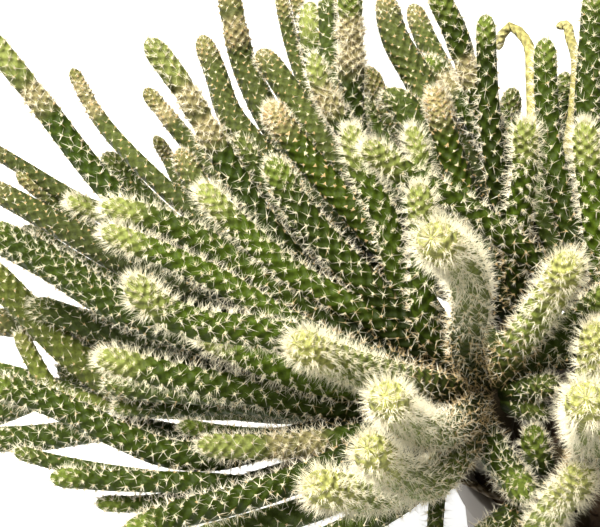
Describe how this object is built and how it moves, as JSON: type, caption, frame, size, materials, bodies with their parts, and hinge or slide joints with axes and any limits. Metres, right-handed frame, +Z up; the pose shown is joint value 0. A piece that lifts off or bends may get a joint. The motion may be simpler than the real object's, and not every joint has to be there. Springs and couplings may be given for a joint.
{
  "type": "potted mistletoe cactus",
  "caption": "Bristly mistletoe cactus: rooted cuttings fan out as spiny pencil stems from peat in a small tapered plastic pot",
  "frame": {"origin": "centre of the pot's flat foot, on the ground", "axes": "+Z up along the pot's axis, +X to the right and +Y away from a viewer in front; the stems spread furthest along X"},
  "size_m": [0.3191, 0.248, 0.1711],
  "materials": {
    "pot_plastic": "matte moulded taupe grey",
    "peat": "rough moist peat",
    "cactus_stem": "waxy green skin with tan wool and pale spines"
  },
  "bodies": {
    "root": {"pot": "pot_plastic", "soil": "peat", "cutting_west": "cactus_stem", "cutting_west_low": "cactus_stem", "cutting_north_west": "cactus_stem", "cutting_inner": "cactus_stem", "cutting_south_west": "cactus_stem", "cutting_east": "cactus_stem", "cutting_east_low": "cactus_stem", "cutting_south_east": "cactus_stem", "cutting_inner_east": "cactus_stem", "cutting_north_east": "cactus_stem", "cutting_south": "cactus_stem", "cutting_north": "cactus_stem"}
  },
  "joints": []
}
